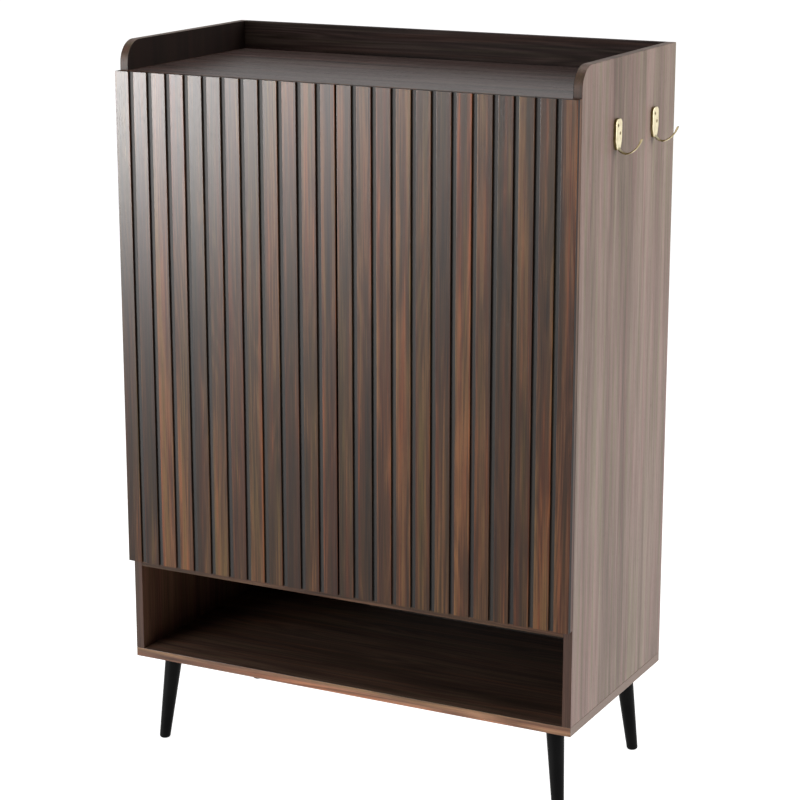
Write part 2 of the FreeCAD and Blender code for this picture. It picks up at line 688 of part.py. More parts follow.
def hinge_arm(z):
    """Channel over the plate's rib, with a forked nose that reaches into the cup."""
    inner, outer = BOARD + RIB_TOP, BOARD + RIB_TOP + WEB
    low = BOARD + PLATE_BASE + 0.5
    start, end = ARM_ALONG
    body = hinge_box((low, outer), ARM_ALONG, z, ARM_HALF_WIDTH)
    room = hinge_box((0, inner), (start - 4, end + 1), z, ARM_HALF_WIDTH - WEB)

    pivot = arm_pivot()
    nose_start, nose_end = NOSE_ALONG
    nose_low = pivot[0] - EYE_RADIUS - EYE_WALL
    nose_outline = [
        Vector(nose_low, pivot[1], 0),
        Vector(outer - 0.5, pivot[1], 0),
        Vector(outer, nose_start, 0),
        Vector(outer, nose_end, 0),
        Vector(nose_low - 1.5, nose_end, 0),
        Vector(nose_low, 0, 0),
    ]
    nose = prism(nose_outline, hinge_point(0, 0, z - NOSE_HALF_WIDTH), Z * (2 * NOSE_HALF_WIDTH))
    eye = across(EYE_RADIUS + EYE_WALL, pivot, z, NOSE_HALF_WIDTH)
    fork_half = LINK_HALF_WIDTH + FORK_PLAY
    fork = hinge_box((0, inner), (-20, nose_end + 0.5), z, fork_half)
    under_web = hinge_box((inner - 1, outer + 1), (-20, nose_start + 0.5), z, fork_half)

    solid = fuse([body.cut(room), cut(fuse([nose, eye]), [fork, under_web])])
    holes = [across(FIXED_HOLE_RADIUS, pivot, z, 2 * NOSE_HALF_WIDTH)]
    for point in arm_screw_points(z):
        holes.append(screw_hole(point + X, X.negative(), ARM_SCREW_SHANK[0], WEB + 1))
    return cut(solid, holes)


def hinge_plate(z):
    """Mounting plate on the side panel: two wings for its screws and a rib for the arm."""
    on_panel = (BOARD, BOARD + PLATE_BASE)
    wings = hinge_box(on_panel, WING_ALONG, z, WING_HALF_HEIGHT)
    wings = wings.makeFillet(WING_ROUND, [e for e in wings.Edges if e.Length < PLATE_BASE + 0.1])
    base = hinge_box(on_panel, PLATE_ALONG, z, PLATE_HALF_HEIGHT)
    rib = hinge_box((BOARD, BOARD + RIB_TOP), PLATE_ALONG, z, RIB_HALF_HEIGHT)
    holes = []
    for point in arm_screw_points(z):
        holes.append(screw_hole(point, X.negative(), *ARM_SCREW_SHANK))
    for point in plate_screw_points(z):
        holes.append(screw_hole(point + X, X.negative(), PLATE_SCREW_SHANK[0], PLATE_BASE + 2))
    return cut(fuse([wings, base, rib]), holes)


def left_hinge_pieces():
    """Every hinge piece of the left door, by node."""
    pieces = {
        "hinge_cups": [], "cup_pins": [], "cup_screws": [], "hinge_links": [],
        "hinge_arms": [], "arm_pins": [], "arm_screws": [], "hinge_plates": [], "plate_screws": [],
    }
    for z in hinge_centres():
        pieces["hinge_cups"].append(hinge_cup(z))
        pieces["cup_pins"].append(across(LINK_PIN_RADIUS, DOOR_PIVOT, z, EAR_OUTER))
        pieces["hinge_links"].append(hinge_link(z))
        pieces["hinge_arms"].append(hinge_arm(z))
        pieces["arm_pins"].append(across(LINK_PIN_RADIUS, arm_pivot(), z, NOSE_HALF_WIDTH))
        pieces["hinge_plates"].append(hinge_plate(z))
        for point in cup_screw_points(z):
            on_flange = point + Y * FLANGE_THICKNESS
            screw = pan_screw(on_flange, Y.negative(), *CUP_SCREW_HEAD, *CUP_SCREW_SHANK)
            pieces["cup_screws"].append(screw)
        for point in arm_screw_points(z):
            screw = pan_screw(point, X.negative(), *ARM_SCREW_HEAD, *ARM_SCREW_SHANK)
            pieces["arm_screws"].append(screw)
        for point in plate_screw_points(z):
            screw = pan_screw(point, X.negative(), *PLATE_SCREW_HEAD, *PLATE_SCREW_SHANK)
            pieces["plate_screws"].append(screw)
    return pieces


def left_plate_screw_holes():
    """Holes for the mounting plates' screws in the left side panel."""
    return [
        screw_hole(point, X.negative(), *PLATE_SCREW_SHANK)
        for z in hinge_centres() for point in plate_screw_points(z)
    ]


# ---- push latches, drawn for the left door ------------------------------------------------

HOUSING_HALF_WIDTH = 7.0
HOUSING_SETBACK = 4.0
HOUSING_LENGTH = 74.0
HOUSING_HEIGHT = 15.0
HOUSING_ROUND = 3.0
LATCH_FLANGE = 2.5  # thickness
LATCH_FLANGE_HALF_WIDTH = 16.0
LATCH_FLANGE_ALONG = (51.0, 69.0)  # from the carcass front
LATCH_FLANGE_ROUND = 4.0
LATCH_SCREW_PLACE = (11.5, 60.0)  # each side of the axis, and from the carcass front
LATCH_SCREW_HEAD = (3.0, 1.6)
LATCH_SCREW_SHANK = (1.7, 14.0)
BORE_END = 70.0  # from the carcass front
PLUNGER_TIP_GAP = 0.1  # in front of the carcass
PLUNGER_ROUND = 0.8
PLUNGER_GROOVE = (2.5, 0.4, 0.5)  # from the tip, depth and width
SPIGOT = (2.4, 5.5)  # radius and length
BUMPER_RADIUS = 4.0
BUMPER_ROUND = 0.6
BUMPER_FROM_MIDDLE = 20.0
STRIKE_STUD_RADIUS = 1.5
STRIKE_STUD = 6.0
SPRING_WIRE_RADIUS = 0.35
SPRING_RADIUS = 3.2
SPRING_TURNS = 9


def latch_point(y):
    """A place on the left latch's axis."""
    return Vector(MIDDLE - LATCH_OFFSET, y, TOP_UNDER - LATCH_AXIS_DROP)


def latch_screw_points():
    beside, along = LATCH_SCREW_PLACE
    x = MIDDLE - LATCH_OFFSET
    return [Vector(x + offset, FRONT + along, TOP_UNDER - LATCH_FLANGE) for offset in (-beside, beside)]


def latch_housing():
    """Block under the top panel with a flange at each side and a blind bore from the front."""
    x = MIDDLE - LATCH_OFFSET
    front = FRONT + HOUSING_SETBACK
    block = box(
        x - HOUSING_HALF_WIDTH, x + HOUSING_HALF_WIDTH, front, front + HOUSING_LENGTH,
        TOP_UNDER - HOUSING_HEIGHT, TOP_UNDER,
    )
    low_edges = [
        edge for edge in block.Edges
        if edge.Length > HOUSING_LENGTH - 1 and edge.BoundBox.ZMax < TOP_UNDER - 1
    ]
    block = block.makeFillet(HOUSING_ROUND, low_edges)
    flange_front, flange_end = LATCH_FLANGE_ALONG
    flange = box(
        x - LATCH_FLANGE_HALF_WIDTH, x + LATCH_FLANGE_HALF_WIDTH, FRONT + flange_front, FRONT + flange_end,
        TOP_UNDER - LATCH_FLANGE, TOP_UNDER,
    )
    corners = [edge for edge in flange.Edges if edge.Length < LATCH_FLANGE + 0.1]
    flange = flange.makeFillet(LATCH_FLANGE_ROUND, corners)
    bore = rod(PLUNGER_BORE_RADIUS, latch_point(FRONT), Y, BORE_END)
    holes = [
        screw_hole(point - Z, Z, LATCH_SCREW_SHANK[0], LATCH_FLANGE + 2) for point in latch_screw_points()
    ]
    return cut(fuse([block, flange]), [bore] + holes)


def latch_plunger():
    """Sliding plunger with a grooved tip and a spigot for its spring."""
    tip = FRONT - PLUNGER_TIP_GAP
    solid = rod(PLUNGER_RADIUS, latch_point(tip), Y, PLUNGER_LENGTH)
    tip_edge = [edge for edge in solid.Edges if edge.BoundBox.YMax < tip + 0.1]
    solid = solid.makeFillet(PLUNGER_ROUND, tip_edge)
    groove_at, groove_depth, groove_width = PLUNGER_GROOVE
    ring = rod(PLUNGER_RADIUS + 1, latch_point(tip + groove_at), Y, groove_width)
    core = rod(PLUNGER_RADIUS - groove_depth, latch_point(tip), Y, 2 * groove_at)
    spigot_radius, spigot_length = SPIGOT
    shoulder = tip + PLUNGER_LENGTH
    spigot = rod(spigot_radius, latch_point(shoulder - 0.5), Y, spigot_length + 0.5)
    return cut(fuse([solid, spigot]), [ring.cut(core)])


def latch_spring():
    """Coil between the plunger's shoulder and the end of the bore."""
    start = FRONT - PLUNGER_TIP_GAP + PLUNGER_LENGTH + SPRING_WIRE_RADIUS
    length = FRONT + BORE_END - SPRING_WIRE_RADIUS - start
    helix = Part.makeHelix(length / SPRING_TURNS, length, SPRING_RADIUS)
    section = Part.Wire(Part.makeCircle(SPRING_WIRE_RADIUS, Vector(SPRING_RADIUS, 0, 0), Y))
    coil = Part.Wire(helix.Edges).makePipeShell([section], True, True)
    coil.Placement = Placement(latch_point(start), Rotation(Z, Y))
    return coil


def strike():
    """Steel disc on the back of the door, held by its own stud."""
    disc = rod(STRIKE_RADIUS, latch_point(DOOR_BACK), Y, STRIKE_THICKNESS)
    stud = rod(STRIKE_STUD_RADIUS, latch_point(DOOR_BACK), Y.negative(), STRIKE_STUD)
    return fuse([disc, stud])


def door_bumper():
    """Soft dot on the door's back, over the top panel's front edge."""
    centre = Vector(MIDDLE - BUMPER_FROM_MIDDLE, DOOR_BACK, TOP_UPPER - BOARD / 2)
    dot = rod(BUMPER_RADIUS, centre, Y, DOOR_GAP - 0.2)
    rim = [edge for edge in dot.Edges if edge.BoundBox.YMin > DOOR_BACK + 0.5]
    return dot.makeFillet(BUMPER_ROUND, rim)


# ---- hooks --------------------------------------------------------------------------------

HOOK_SCREW = (2.9, 2.0, 1.5, 16.0)  # head radius, head depth, shank radius, length
HOOK_SCREW_PLACES = ((-4.0, 37.5), (4.0, 24.8))  # along Y, and up from the plate's bottom
HOOK_HALF_WIDTH = 12.0
HOOK_FOOT_HALF_WIDTH = 5.2
HOOK_SHOULDER = 8.5  # radius of the plate's upper corners
HOOK_NECK = (0.62, 7.5)  # part of the widening, and height, halfway up the narrow foot
HOOK_NECK_TOP = 19.0
HOOK_PLATE_ROUND = 1.2
# The arm's middle line, out from the side panel and up from the plate's bottom, with the
# width and thickness of the strap there.
HOOK_ARM = (
    (2.2, 4.0, 9.0, 3.6),
    (4.8, 0.6, 9.4, 3.2),
    (9.5, -3.4, 9.6, 2.8),
    (16.0, -5.2, 9.0, 2.6),
    (24.5, -2.8, 7.4, 2.5),
    (32.0, 3.2, 6.4, 2.4),
    (37.6, 10.6, 7.6, 2.3),
    (40.6, 17.0, 9.8, 2.1),
    (41.3, 19.0, 9.0, 1.2),
)


def hook_plate(x0, y, bottom):
    """Wall plate of a hook: round shoulders, narrowing to the foot where the arm leaves."""
    half, foot = HOOK_HALF_WIDTH, HOOK_FOOT_HALF_WIDTH
    shoulder, neck_top = HOOK_SHOULDER, HOOK_NECK_TOP
    top = HOOK_PLATE_HEIGHT
    neck_share, neck_height = HOOK_NECK
    neck_half = foot + neck_share * (half - foot)
    diagonal = shoulder * (1 - math.sqrt(0.5))

    def at(across_y, up):
        return Vector(x0, y + across_y, bottom + up)

    def arc(*points):
        return Part.Arc(*points).toShape()

    edges = [
        Part.makeLine(at(-foot, 0), at(foot, 0)),
        arc(at(foot, 0), at(neck_half, neck_height), at(half, neck_top)),
        Part.makeLine(at(half, neck_top), at(half, top - shoulder)),
        arc(at(half, top - shoulder), at(half - diagonal, top - diagonal), at(half - shoulder, top)),
        Part.makeLine(at(half - shoulder, top), at(shoulder - half, top)),
        arc(at(shoulder - half, top), at(diagonal - half, top - diagonal), at(-half, top - shoulder)),
        Part.makeLine(at(-half, top - shoulder), at(-half, neck_top)),
        arc(at(-half, neck_top), at(-neck_half, neck_height), at(-foot, 0)),
    ]
    plate = Part.Face(Part.Wire(edges)).extrude(X * HOOK_PLATE_THICKNESS)
    outer = [edge for edge in plate.Edges if edge.BoundBox.XMin > x0 + HOOK_PLATE_THICKNESS - 0.01]
    return plate.makeFillet(HOOK_PLATE_ROUND, outer)


def strap_section(point, way, width, thickness):
    """Oval cut of the arm, square to its middle line. The strap is wider than it is thick."""
    oval = Part.Ellipse(point + Y * (width / 2), point + way.cross(Y) * (thickness / 2), point)
    return Part.Wire(oval.toShape())


def hook_arm(x0, y, bottom):
    """Strap that dips, rises and widens to its tip."""
    points = [Vector(x0 + out, y, bottom + up) for out, up, _, _ in HOOK_ARM]
    sections = []
    for index, (_, _, width, thickness) in enumerate(HOOK_ARM):
        before = points[max(index - 1, 0)]
        after = points[min(index + 1, len(points) - 1)]
        sections.append(strap_section(points[index], (after - before).normalize(), width, thickness))
    return Part.makeLoft(sections, True, False)


def hook_screw_points(y, bottom):
    x = RIGHT + HOOK_PLATE_THICKNESS
    return [Vector(x, y + across_y, bottom + up) for across_y, up in HOOK_SCREW_PLACES]


def hooks_and_screws():
    bottom = LEG_HEIGHT + HOOK_PLATE_BOTTOM_H
    hooks, screws, side_bores = [], [], []
    for inset in HOOK_INSETS:
        y = FRONT + inset
        points = hook_screw_points(y, bottom)
        body = fuse([hook_plate(RIGHT, y, bottom), hook_arm(RIGHT, y, bottom)])
        hooks.append(cut(body, [flat_screw_hole(point, X.negative(), *HOOK_SCREW) for point in points]))
        for point in points:
            screws.append(flat_screw(point, X.negative(), *HOOK_SCREW))
            side_bores.append(screw_hole(point, X.negative(), HOOK_SCREW[2], HOOK_SCREW[3]))
    return hooks, screws, side_bores


# ---- the whole cabinet --------------------------------------------------------------------


def main():
    os.makedirs("parts", exist_ok=True)

    top_joints, top_bores, top_side_bores = board_joints(TOP_UNDER)
    shelf_joints, shelf_bores, shelf_side_bores = board_joints(SHELF_BOTTOM)
    thin_dowels, rail_bores, rail_side_bores = rail_dowels()
    pins, pin_holes = shelf_pins_and_holes()
    long_screws, long_holes = base_screws()
    top_screws, top_screw_holes = rail_screws()
    legs, leg_plates, leg_bolts, leg_screws, base_bores = legs_and_fittings()
    hooks, hook_screws, hook_bores = hooks_and_screws()
    hinges = left_hinge_pieces()
    hinge_holes = left_plate_screw_holes()
    latch_holes = [screw_hole(point, Z, *LATCH_SCREW_SHANK) for point in latch_screw_points()]
    groove = back_groove()

    side_bores = {
        side: top_side_bores[side] + shelf_side_bores[side] + rail_side_bores[side]
        + pin_holes[side] + long_holes + [groove]
        for side in ("left", "right")
    }
    save("left_side_panel", [cut(side_panel(LEFT), side_bores["left"] + hinge_holes)])
    save("right_side_panel", [
        cut(side_panel(INNER_RIGHT), side_bores["right"] + mirrored(hinge_holes) + hook_bores)])
    save("top_panel", [
        cut(top_panel(), top_bores + top_screw_holes + latch_holes + mirrored(latch_holes) + [groove])])
    save("back_rail", [cut(back_rail(), rail_bores + top_screw_holes)])
    save("base_panel", [cut(base_panel(), base_bores + long_holes + [groove])])
    save("middle_shelf", [cut(middle_shelf(), shelf_bores)])
    save("back_panel", [back_panel()])
    for number in range(1, SHELF_COUNT + 1):
        save("adjustable_shelf_%d" % number, [adjustable_shelf(number)])
    save("shelf_pins", pins)

    for name, solid in legs.items():
        save(name, [solid])
    save("leg_plates", leg_plates)
    save("leg_hanger_bolts", leg_bolts)
    save("leg_plate_screws", leg_screws)

    save("cam_bolts", top_joints["bolts"] + shelf_joints["bolts"])
    save("cam_locks", top_joints["cams"] + shelf_joints["cams"])
    save("dowels", top_joints["dowels"] + shelf_joints["dowels"] + thin_dowels)
    save("base_panel_screws", long_screws)
    save("back_rail_screws", top_screws)

    save("front_hook", hooks[:1])
    save("rear_hook", hooks[1:])
    save("hook_screws", hook_screws)

    door = [door_panel()]
    latch = {
        "latch_housing": [latch_housing()],
        "latch_plunger": [latch_plunger()],
        "latch_spring": [latch_spring()],
        "latch_strike": [strike()],
        "door_bumper": [door_bumper()],
    }
    latch_screws = [
        pan_screw(point, Z, *LATCH_SCREW_HEAD, *LATCH_SCREW_SHANK) for point in latch_screw_points()
    ]
    for side, turn in (("left", list), ("right", mirrored)):
        save(side + "_door_panel", turn(door))
        for name, solids in {**hinges, **latch}.items():
            save(side + "_" + name, turn(solids))
    save("latch_screws", latch_screws + mirrored(latch_screws))


main()
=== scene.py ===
# %% [markdown]
# # A fluted walnut shoe cabinet
# The boards, doors, hinges, legs and hooks come ready made, at their real size, from a packed
# model. This lesson gives them their finishes: printed walnut foil, black lacquer, antique brass
# and the small metal and plastic fittings. Then it lights the cabinet and points a camera at it.
# The first cell loads the model. It keeps the box that the model fills and the names of the flat
# colours that it comes with, so that the end of the lesson can show that no piece was forgotten.

# %% load the model
import math

import bpy
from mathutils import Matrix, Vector


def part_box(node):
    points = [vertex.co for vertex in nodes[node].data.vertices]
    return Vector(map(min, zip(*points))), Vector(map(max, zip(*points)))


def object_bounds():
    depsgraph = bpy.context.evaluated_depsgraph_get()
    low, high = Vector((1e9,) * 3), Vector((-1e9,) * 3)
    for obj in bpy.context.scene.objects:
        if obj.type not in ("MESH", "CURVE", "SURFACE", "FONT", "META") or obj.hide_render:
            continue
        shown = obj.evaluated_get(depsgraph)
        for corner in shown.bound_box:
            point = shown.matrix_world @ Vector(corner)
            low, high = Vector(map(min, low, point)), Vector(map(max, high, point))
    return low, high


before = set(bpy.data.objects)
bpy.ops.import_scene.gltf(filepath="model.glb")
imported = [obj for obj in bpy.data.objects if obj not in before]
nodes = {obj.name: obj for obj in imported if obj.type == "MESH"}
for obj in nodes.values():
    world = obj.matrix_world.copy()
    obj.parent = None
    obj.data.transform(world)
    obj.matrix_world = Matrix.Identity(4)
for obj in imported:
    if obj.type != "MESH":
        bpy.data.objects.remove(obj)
cad_low, cad_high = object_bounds()
size = cad_high - cad_low
flat_colours = {material.name for material in bpy.data.materials}
print("pieces:", len(nodes), " size in mm:", [round(1000 * side) for side in size])

# %% [markdown]
# ## Where things are
# Every finish below is placed from the model itself. The doors give the pitch of their slats, and
# the side panels give the width of the carcass. A door has 12 slats and 11 grooves, and all 12 slats
# are equally wide, so one slat and one groove together are a fixed step along X.

# %% places
MM = 0.001
SLATS = 12
GROOVE = 8.3 * MM

left_door_low, left_door_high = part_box("left_door_panel")
right_door_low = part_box("right_door_panel")[0]
left_side_low, left_side_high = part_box("left_side_panel")
right_side_low, right_side_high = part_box("right_side_panel")
tray_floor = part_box("top_panel")[1].z

slat_pitch = (left_door_high.x - left_door_low.x + GROOVE) / SLATS
print("slat pitch in mm:", round(slat_pitch / MM, 2))
print("tray floor's height in mm:", round(tray_floor / MM, 1))

# %% [markdown]
# ## The camera
# A cabinet is usually shown from a little above and to one side, through a long lens, so that its
# upright edges stay nearly parallel. The camera is set by its place to the right of the front, its
# turn to the left and its tilt down. It has no shift: a shifted lens would keep the uprights exactly
# parallel, but it would push the cabinet out of every other view.

# %% camera
LENS = 108.5
SENSOR = 36.0
CAMERA_TURN = math.radians(27.05)
CAMERA_TILT = math.radians(14.45)
CAMERA_PLACE = Vector((1.736, -3.422, 1.599))

lens = bpy.data.cameras.new("camera")
lens.lens = LENS
lens.sensor_width = SENSOR
lens.clip_end = 100.0
camera = bpy.data.objects.new("camera", lens)
camera.location = CAMERA_PLACE
camera.rotation_euler = (math.pi / 2 - CAMERA_TILT, 0.0, CAMERA_TURN)
bpy.context.scene.collection.objects.link(camera)
bpy.context.scene.camera = camera
print("camera distance in m:", round((camera.location - (cad_low + cad_high) / 2).length, 2))

# %% [markdown]
# ## The floor
# The floor is one wide pale sheet, so large that its far edge is never close. It gets its finish
# near the end of the lesson, once the tools for making finishes are there.

# %% floor sheet
FLOOR_SIZE = 60.0

half = FLOOR_SIZE / 2
corners = [(-half, -half, 0), (half, -half, 0), (half, half, 0), (-half, half, 0)]
floor_mesh = bpy.data.meshes.new("studio_floor")
floor_mesh.from_pydata(corners, [], [(0, 1, 2, 3)])
studio_floor = bpy.data.objects.new("studio_floor", floor_mesh)
bpy.context.scene.collection.objects.link(studio_floor)
print("floor of", FLOOR_SIZE, "m square")

# %% [markdown]
# ## The sky
# Behind the cabinet the studio is bright and in front of it dim, as it is with a pale backdrop
# behind an object and a dark room behind the camera. That makes the side panel and the tray look
# pale and hazy, because they are seen at a glancing angle and mirror the backdrop, while the doors
# keep their deep colour. A picture of a studio could do this, but two numbers and a soft step
# between them are enough. Where the sky is seen straight on it is plain white, whatever it sends to
# the cabinet, as a backdrop lit until it is white would be.

# %% sky
FRONT_LIGHT = 0.05
BACK_LIGHT = 0.45
FADE_START = -0.5
FADE_END = 0.6

sky = bpy.data.worlds.new("studio_sky")
sky.use_nodes = True
sky_tree = sky.node_tree
direction = sky_tree.nodes.new("ShaderNodeTexCoord")
split = sky_tree.nodes.new("ShaderNodeSeparateXYZ")
fade = sky_tree.nodes.new("ShaderNodeMapRange")
fade.interpolation_type = "SMOOTHSTEP"
fade.inputs["From Min"].default_value = FADE_START
fade.inputs["From Max"].default_value = FADE_END
fade.inputs["To Min"].default_value = FRONT_LIGHT
fade.inputs["To Max"].default_value = BACK_LIGHT
ray = sky_tree.nodes.new("ShaderNodeLightPath")
brightest = sky_tree.nodes.new("ShaderNodeMath")
brightest.operation = "MAXIMUM"
sky_tree.links.new(direction.outputs["Generated"], split.inputs[0])
sky_tree.links.new(split.outputs["Y"], fade.inputs["Value"])
sky_tree.links.new(fade.outputs[0], brightest.inputs[0])
sky_tree.links.new(ray.outputs["Is Camera Ray"], brightest.inputs[1])
sky_tree.links.new(brightest.outputs[0], sky_tree.nodes["Background"].inputs["Color"])
bpy.context.scene.world = sky
bpy.context.scene.view_settings.view_transform = "Standard"
print("sky from", FRONT_LIGHT, "in front to", BACK_LIGHT, "behind")

# %% [markdown]
# ## Soft boxes
# Soft boxes are large flat lamps, which give soft edges to shadows and reflections. One on the left
# lights the doors, one on the right lifts the side panel, and one overhead fills the tray. The fourth
# shows only in what is glossy: it is the pale sheen at the doors' upper left that fades downwards.
# An ordinary lamp there would wash the colour out of the doors.

# %% soft boxes
def soft_box(name, place, aim, width, height, power, only_sheen=False):
    """A flat lamp, out of the camera's sight. With only_sheen it lights only what is glossy."""
    lamp = bpy.data.lights.new(name, "AREA")
    lamp.shape = "RECTANGLE"
    lamp.size = width
    lamp.size_y = height
    lamp.energy = power
    box = bpy.data.objects.new(name, lamp)
    box.location = place
    box.rotation_euler = (Vector(aim) - Vector(place)).to_track_quat("-Z", "Y").to_euler()
    box.visible_camera = False
    box.visible_diffuse = not only_sheen
    bpy.context.scene.collection.objects.link(box)
    print(name, "at", place, "power", power)


soft_box("left_soft_box", (-1.6, -3.0, 1.6), (-0.35, 0.0, 0.8), 1.4, 1.4, 42.0)
soft_box("door_sheen", (-2.5, -2.7, 1.1), (-0.35, 0.0, 1.05), 1.1, 1.1, 455.0, only_sheen=True)
soft_box("right_soft_box", (3.4, 0.9, 1.6), (0.4, 0.0, 0.6), 1.6, 2.2, 105.0)
soft_box("overhead_soft_box", (-0.3, -0.6, 3.4), (0.0, 0.0, 0.0), 1.8, 1.8, 30.0)

# %% [markdown]
# ## Writing shaders as sums
# A shader is a net of nodes, and its maths reads badly as a list of links. The class below wraps one
# socket, so that `1 - mask` or `tone * 0.4 + streaks` adds the Math nodes by itself. Everything
# else, from a noise to a colour ramp, comes from one method, `node`: it takes the node's type, its
# settings, and what goes into its sockets. Colours and vectors go through Mix and Vector Math nodes,
# because a Math node would turn them grey.

# %% the signal class
class Signal:
    """One value, colour or direction on its way through a finish."""

    def __init__(self, tree, socket):
        self.tree = tree
        self.socket = socket

    def node(self, kind, settings=None, sockets=None, out=0):
        """Any node: its type, its settings, then the values or signals of its sockets."""
        made = self.tree.nodes.new(kind)
        for name, value in (settings or {}).items():
            if name == "stops":
                set_stops(made.color_ramp, value)
            else:
                setattr(made, name, value)
        for name, value in (sockets or {}).items():
            if isinstance(value, Signal):
                self.tree.links.new(value.socket, made.inputs[name])
            else:
                made.inputs[name].default_value = value
        return Signal(self.tree, made.outputs[out])

    def math(self, operation, first, second=0.0):
        return self.node("ShaderNodeMath", {"operation": operation}, {0: first, 1: second})

    def __add__(self, other):
        return self.math("ADD", self, other)

    def __sub__(self, other):
        return self.math("SUBTRACT", self, other)

    def __rsub__(self, other):
        return self.math("SUBTRACT", other, self)

    def __mul__(self, other):
        return self.math("MULTIPLY", self, other)

    def __truediv__(self, other):
        return self.math("DIVIDE", self, other)

    def __rtruediv__(self, other):
        return self.math("DIVIDE", other, self)

    __radd__ = __add__
    __rmul__ = __mul__

    def __neg__(self):
        return 0.0 - self

    def __abs__(self):
        return self.math("ABSOLUTE", self)

    def floor(self):
        return self.math("FLOOR", self)

    def waves(self):
        """Up and down between 0 and 1, once for each step of 1."""
        return self.math("PINGPONG", self, 0.5) * 2.0

    def above(self, edge, soft):
        """0 below an edge and 1 above it, with a soft step between."""
        limits = {"Value": self, "From Min": edge - soft, "From Max": edge + soft}
        return self.node("ShaderNodeMapRange", {"interpolation_type": "SMOOTHSTEP"}, limits)

    def spread(self, low, high):
        """Stretch the middle of a noise to the whole of 0 to 1."""
        return self.node("ShaderNodeMapRange", {}, {"Value": self, "From Min": low, "From Max": high})

    def ramp(self, stops):
        return self.node("ShaderNodeValToRGB", {"stops": stops}, {"Fac": self})

    def between(self, low, high):
        """One colour at 0, another at 1."""
        return self.ramp([(0.0, low), (1.0, high)])

    def blend(self, other, factor, way="MIX"):
        """Mix this colour with another one."""
        colour = (*other, 1.0) if isinstance(other, tuple) else other
        settings = {"data_type": "RGBA", "blend_type": way}
        return self.node("ShaderNodeMix", settings, {"Factor": factor, 6: self, 7: colour}, out=2)

    def tinted(self, tint, factor=1.0):
        """Multiply this colour by another one."""
        return self.blend(tint, factor, "MULTIPLY")

    def stretched(self, steps):
        """A place divided by a length for each direction, in mm."""
        scale = tuple(1.0 / (step * MM) for step in steps)
        return self.node("ShaderNodeVectorMath", {"operation": "MULTIPLY"}, {0: self, 1: scale})

    def moved(self, other):
        return self.node("ShaderNodeVectorMath", {"operation": "ADD"}, {0: self, 1: other})

    def noise(self, detail=3.0, roughness=0.5, wander=0.0):
        sockets = {"Vector": self, "Scale": 1.0, "Detail": detail, "Roughness": roughness}
        sockets["Distortion"] = wander
        return self.node("ShaderNodeTexNoise", {"noise_dimensions": "3D"}, sockets)

    def part(self, axis):
        return self.node("ShaderNodeSeparateXYZ", {}, {0: self}, out="XYZ".index(axis))


def set_stops(color_ramp, stops):
    """Put a ramp's stops in place: each is a position and a colour."""
    while len(color_ramp.elements) < len(stops):
        color_ramp.elements.new(0.5)
    for element, (position, colour) in zip(color_ramp.elements, stops):
        element.position = position
        element.color = (*colour, 1.0)


print("a signal knows:", ", ".join(name for name in vars(Signal) if not name.startswith("_")))

# %% [markdown]
# ## Starting a finish
# Every finish starts the same way: a new material with one Principled shader, and two signals that
# all patterns grow from. One is the place on the piece and the other is the direction that its
# surface faces, which tells the edge of a board from its face. Both are in the piece's own frame, so
# a pattern stays with a door when the door opens. What is the same all over a surface is set on the
# shader's own sockets.

# %% the finish class
class Finish:
    """A material, its Principled shader, and the signals that patterns start from."""

    def __init__(self, name, **even):
        self.material = bpy.data.materials.new(name)
        self.material.use_nodes = True
        tree = self.material.node_tree
        self.shader = tree.nodes["Principled BSDF"]
        for socket, value in even.items():
            self.shader.inputs[socket.replace("_", " ")].default_value = value
        start = Signal(tree, None)
        self.place = start.node("ShaderNodeTexCoord", out="Object")
        self.facing = start.node("ShaderNodeTexCoord", out="Normal")

    def feed(self, **signals):
        for socket, signal in signals.items():
            self.place.tree.links.new(signal.socket, self.shader.inputs[socket.replace("_", " ")])

    def relief(self, height, distance, strength):
        """Bumps from a height signal, in metres at full strength."""
        sockets = {"Height": height, "Distance": distance, "Strength": strength}
        self.feed(Normal=self.place.node("ShaderNodeBump", {}, sockets))

    def clouds(self, across, detail=4.0, roughness=0.6, along=None):
        """Slow patches, as wide as given in mm, that keep a surface from looking quite even."""
        steps = (across, across, along or across)
        return self.place.stretched(steps).noise(detail, roughness).spread(0.3, 0.7)

    def put_on(self, *names):
        for name in names:
            slots = nodes[name].data.materials
            slots.clear()
            slots.append(self.material)
        print(self.material.name, "on", ", ".join(names))


def both_sides(*kinds):
    """The names of pieces that the left and the right door each have."""
    return [side + kind for side in ("left_", "right_") for kind in kinds]


print("pieces on both sides, for example:", both_sides("door_panel"))

# %% [markdown]
# ## Printed walnut
# The boards are chipboard in a walnut-printed foil. A picture of veneer could be used, but a pattern
# made of nodes has no seams and no fixed size. Sawn walnut shows growth rings as long, nested,
# wavering lines, and those are the height lines of a slow noise that is drawn out along the grain.
# On top come broad dark and light bands, fine streaks a millimetre or two wide, and short dark
# pores. One function makes them all, for any direction of grain, and every board uses it with its
# own three browns and its own mix. A slow shift of hue, from olive to orange or pink, is the last
# thing: without it, printed walnut looks like plain brown paint.

# %% walnut pattern
BANDS_ACROSS = 26.0
RINGS_ACROSS = 34.0
STREAKS_ACROSS = 2.6
PORES_ACROSS = 0.55
GROWTH_LINES = 11.0
OLIVE_TO_ORANGE = [
    (0.0, (0.80, 0.97, 0.70)),
    (0.35, (0.96, 1.0, 0.98)),
    (0.65, (1.06, 0.95, 0.98)),
    (1.0, (1.34, 0.88, 0.66)),
]
OLIVE_TO_PINK = [
    (0.0, (0.90, 1.0, 0.84)),
    (0.5, (1.0, 1.0, 1.0)),
    (1.0, (1.07, 0.95, 0.99)),
]


def long_grain(place, across, along, axis):
    """Divide a place by one length across the grain and another along it, in mm."""
    return place.stretched([along if axis == direction else across for direction in "XYZ"])


